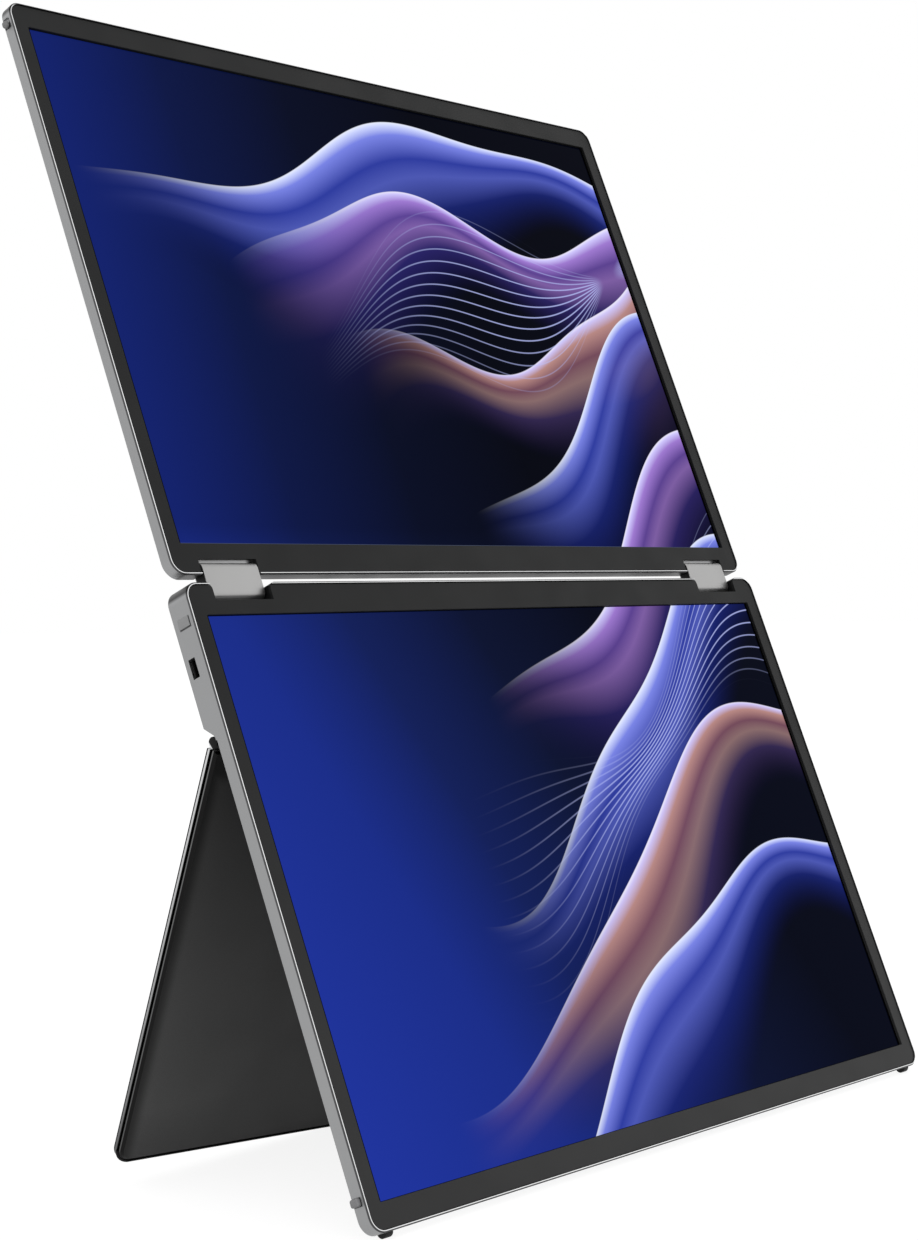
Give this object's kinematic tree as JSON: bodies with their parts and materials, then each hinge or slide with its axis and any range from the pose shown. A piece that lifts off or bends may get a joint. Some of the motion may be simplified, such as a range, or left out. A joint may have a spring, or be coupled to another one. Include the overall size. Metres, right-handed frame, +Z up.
{
  "type": "folding dual monitor",
  "caption": "Folding pair of flat screens, one above the other, joined by flat two-pivot hinge links and held up by a wide plate stand that opens from the back.",
  "frame": {"origin": "on the surface that the object stands on, under the middle of its bounding box", "axes": "+X along the hinge to the viewer's right when facing the screens, +Y from the screens to the back where the stand is, +Z up; the halves lean back about 22 degrees"},
  "size_m": [0.3206, 0.1644, 0.3952],
  "materials": {
    "cover_metal": "bead-blasted silver with bright chamfers",
    "bezel_black": "fine matte dark grey",
    "screen_glass": "lit screen under glass",
    "backlight_steel": "plain sheet",
    "board_green": "circuit board",
    "ribbon": "thin film",
    "grey_rubber": "soft grey",
    "black_rubber": "matte black",
    "hinge_steel": "black coated steel",
    "bright_steel": "turned steel",
    "link_metal": "satin silver",
    "core_black": "matte black",
    "liner_black": "soft satin black",
    "switch_black": "matte"
  },
  "bodies": {
    "lower_half": {"lower_back_cover": "cover_metal", "lower_bezel": "bezel_black", "lower_display": "screen_glass", "lower_backlight": "backlight_steel", "lower_ribbon": "ribbon", "lower_bumpers": "grey_rubber", "lower_hinge_brackets": "hinge_steel", "lower_hinge_shafts": "bright_steel", "lower_screws": "bright_steel", "main_board": "board_green", "port_board": "board_green", "feet": "black_rubber", "stand_brackets": "hinge_steel", "usb_c_sockets": "bright_steel", "lock_insert": "bright_steel", "side_switches": "switch_black"},
    "links": {"link_sleeve_left": "link_metal", "link_sleeve_right": "link_metal", "link_core_left": "core_black", "link_core_right": "core_black"},
    "upper_half": {"upper_back_cover": "cover_metal", "upper_bezel": "bezel_black", "upper_display": "screen_glass", "upper_backlight": "backlight_steel", "upper_driver_board": "board_green", "upper_ribbon": "ribbon", "upper_bumpers": "grey_rubber", "upper_hinge_brackets": "hinge_steel", "upper_hinge_shafts": "bright_steel", "upper_screws": "bright_steel"},
    "stand": {"stand_plate": "cover_metal", "stand_liner": "liner_black", "stand_spine": "core_black", "stand_end_caps": "bright_steel", "stand_pins": "bright_steel", "stand_foot_strip": "black_rubber"},
    "power_key": {"power_button": "link_metal"},
    "menu_key": {"menu_button": "link_metal"}
  },
  "joints": [
    {"name": "link_fold", "type": "hinge", "parent": "lower_half", "child": "links", "pos_m": [0, -0.00036, 0.19389], "axis": [1, 0, 0], "range_deg": [-60, 90]},
    {"name": "upper_fold", "type": "hinge", "parent": "links", "child": "upper_half", "pos_m": [0, 0.00268, 0.2015], "axis": [1, 0, 0], "range_deg": [-60, 90]},
    {"name": "stand_hinge", "type": "hinge", "parent": "lower_half", "child": "stand", "pos_m": [0, -0.01588, 0.14721], "axis": [1, 0, 0], "range_deg": [-42, 28]},
    {"name": "power_press", "type": "slide", "parent": "lower_half", "child": "power_key", "axis": [-1, 0, 0], "range_m": [0, 0.0005], "stiffness_N_per_m": 400},
    {"name": "menu_press", "type": "slide", "parent": "lower_half", "child": "menu_key", "axis": [-1, 0, 0], "range_m": [0, 0.0005], "stiffness_N_per_m": 400}
  ],
  "couplings": [
    {"joint": "upper_fold", "follows": "link_fold", "ratio": 1}
  ]
}
